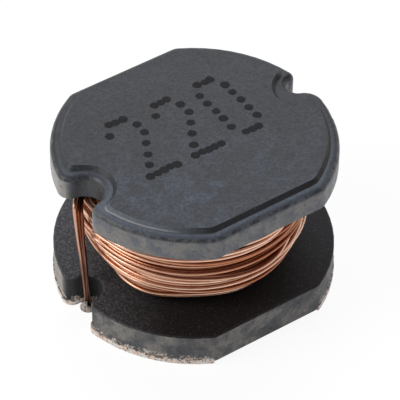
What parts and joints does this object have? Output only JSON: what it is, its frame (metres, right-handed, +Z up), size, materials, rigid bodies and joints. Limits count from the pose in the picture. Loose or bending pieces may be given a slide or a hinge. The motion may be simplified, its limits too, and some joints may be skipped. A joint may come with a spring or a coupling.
{
  "type": "smd power inductor",
  "caption": "Unshielded surface-mount power inductor: a ferrite drum core with flat-sided, notched flanges, a copper wire winding and soldered underside terminals.",
  "frame": {"origin": "centre of the footprint, on the plane that the two terminals stand on", "axes": "+Z up from the board, +X from wire notch to wire notch, +Y square to the two flats"},
  "size_m": [0.0078, 0.007, 0.0048],
  "materials": {
    "ferrite": "satin sintered ferrite",
    "enamelled_copper": "glossy enamelled copper wire",
    "terminal_metal": "matt tinned silver",
    "solder": "satin solder"
  },
  "bodies": {
    "root": {"ferrite_core": "ferrite", "winding": "enamelled_copper", "left_terminal": "terminal_metal", "right_terminal": "terminal_metal", "left_solder": "solder", "right_solder": "solder"}
  },
  "joints": []
}
